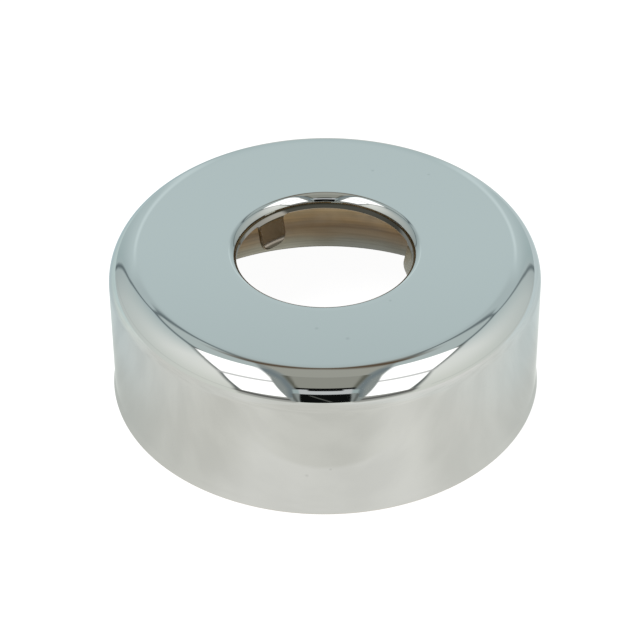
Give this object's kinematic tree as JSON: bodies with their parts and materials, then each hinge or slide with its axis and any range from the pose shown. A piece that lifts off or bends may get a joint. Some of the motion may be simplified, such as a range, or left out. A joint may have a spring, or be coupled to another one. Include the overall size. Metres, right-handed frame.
{
  "type": "siphon escutcheon",
  "caption": "Round pressed cup that slides over a waste pipe and covers its hole in a wall or floor, with a rolled collar and spring tongues that grip the pipe.",
  "frame": {"origin": "centre of the open rim, on the plane that the rim stands on", "axes": "+Z along the pipe axis, from the open rim towards the flat top; +X and +Y across, with the first tongue at 128.5 degrees from +X"},
  "size_m": [0.08, 0.08, 0.029],
  "materials": {
    "chrome_plate": "bright chrome plate outside, thin dull plate inside that shows the warm brass"
  },
  "bodies": {
    "root": {"escutcheon": "chrome_plate"}
  },
  "joints": []
}
